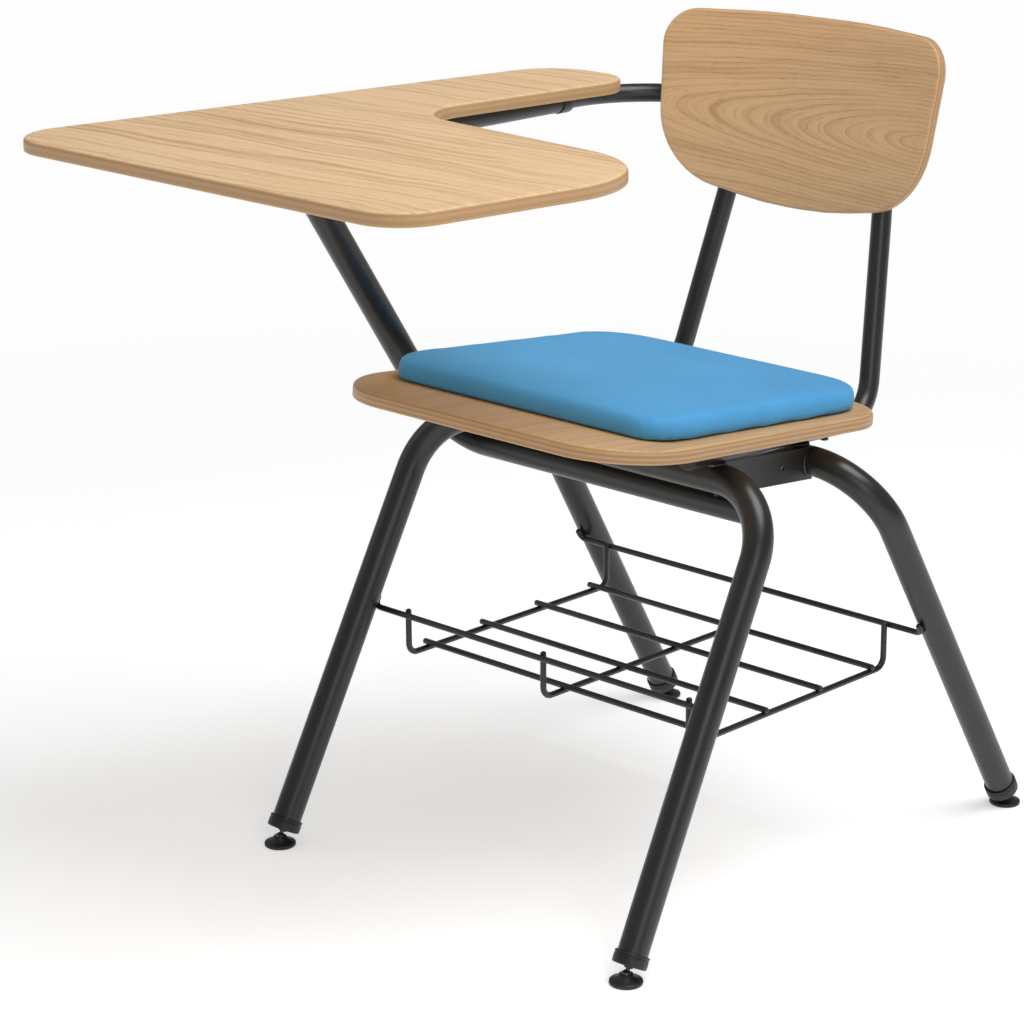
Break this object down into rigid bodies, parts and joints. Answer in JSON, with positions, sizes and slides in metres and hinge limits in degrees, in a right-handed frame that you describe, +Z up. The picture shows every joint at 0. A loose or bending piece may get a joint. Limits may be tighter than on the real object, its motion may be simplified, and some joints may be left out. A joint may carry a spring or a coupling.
{
  "type": "student desk chair",
  "caption": "Classroom chair on bent tube legs with plywood seat and back, blue seat cushion, fixed L-shaped writing tablet on the sitter's right and a wire book rack under the seat",
  "frame": {"origin": "on the floor under the middle of the chair's overall box, at the height of the glides' bases", "axes": "+Z up, the sitter faces -Y, +X is the sitter's left and the tablet arm is towards -X"},
  "size_m": [0.6216, 0.7876, 0.7833],
  "materials": {
    "black_powder_coat": "semi-gloss black powder coat",
    "zinc_black_screws": "black zinc",
    "black_plastic": "moulded satin",
    "plywood": "clear satin lacquer over pale oak face veneer",
    "tablet_laminate": "satin pale wood-grain top",
    "seat_fabric": "smooth sky-blue upholstery"
  },
  "bodies": {
    "chair": {"arm_collar": "black_powder_coat", "arm_stub_tube": "black_powder_coat", "arm_tube": "black_powder_coat", "arm_tube_front_plug": "black_plastic", "backrest": "plywood", "crossbar_end_plug": "black_plastic", "front_left_glide_stem": "zinc_black_screws", "front_left_leg_cap": "black_plastic", "front_leg_arch": "black_powder_coat", "front_right_glide_stem": "zinc_black_screws", "front_right_leg_cap": "black_plastic", "front_tablet_plate": "black_powder_coat", "front_tablet_screw_1": "zinc_black_screws", "front_tablet_screw_2": "zinc_black_screws", "front_tablet_screw_3": "zinc_black_screws", "left_back_upright": "black_powder_coat", "left_front_seat_screw": "zinc_black_screws", "left_front_tube_plug": "black_plastic", "left_lower_back_screw": "zinc_black_screws", "left_rear_seat_screw": "zinc_black_screws", "left_side_plate": "black_powder_coat", "left_top_tube_plug": "black_plastic", "left_upper_back_screw": "zinc_black_screws", "rack_cross_wire_1": "black_powder_coat", "rack_cross_wire_2": "black_powder_coat", "rack_cross_wire_3": "black_powder_coat", "rack_cross_wire_4": "black_powder_coat", "rack_front_rail": "black_powder_coat", "rack_left_long_wire": "black_powder_coat", "rack_middle_long_wire": "black_powder_coat", "rack_rear_rail": "black_powder_coat", "rack_right_long_wire": "black_powder_coat", "rear_left_glide_stem": "zinc_black_screws", "rear_left_leg_cap": "black_plastic", "rear_leg_arch": "black_powder_coat", "rear_right_glide_stem": "zinc_black_screws", "rear_right_leg_cap": "black_plastic", "rear_tablet_plate": "black_powder_coat", "rear_tablet_screw_1": "zinc_black_screws", "rear_tablet_screw_2": "zinc_black_screws", "right_back_upright": "black_powder_coat", "right_front_seat_screw": "zinc_black_screws", "right_front_tube_plug": "black_plastic", "right_lower_back_screw": "zinc_black_screws", "right_rear_seat_screw": "zinc_black_screws", "right_side_plate": "black_powder_coat", "right_top_tube_plug": "black_plastic", "right_upper_back_screw": "zinc_black_screws", "seat_board": "plywood", "seat_cushion": "seat_fabric", "tablet_support_tube": "black_powder_coat", "tablet_top": "tablet_laminate"},
    "front_right_glide": {"front_right_glide_disc": "black_plastic"},
    "front_left_glide": {"front_left_glide_disc": "black_plastic"},
    "rear_right_glide": {"rear_right_glide_disc": "black_plastic"},
    "rear_left_glide": {"rear_left_glide_disc": "black_plastic"}
  },
  "joints": [
    {"name": "front_right_glide_tilt", "type": "hinge", "parent": "chair", "child": "front_right_glide", "pos_m": [-0.1644, -0.2011, 0.0082], "axis": [1, 0, 0], "range_deg": [-10, 10]},
    {"name": "front_left_glide_tilt", "type": "hinge", "parent": "chair", "child": "front_left_glide", "pos_m": [0.2946, -0.2011, 0.0082], "axis": [1, 0, 0], "range_deg": [-10, 10]},
    {"name": "rear_right_glide_tilt", "type": "hinge", "parent": "chair", "child": "rear_right_glide", "pos_m": [-0.1637, 0.3782, 0.0082], "axis": [1, 0, 0], "range_deg": [-10, 10]},
    {"name": "rear_left_glide_tilt", "type": "hinge", "parent": "chair", "child": "rear_left_glide", "pos_m": [0.294, 0.3782, 0.0082], "axis": [1, 0, 0], "range_deg": [-10, 10]}
  ]
}
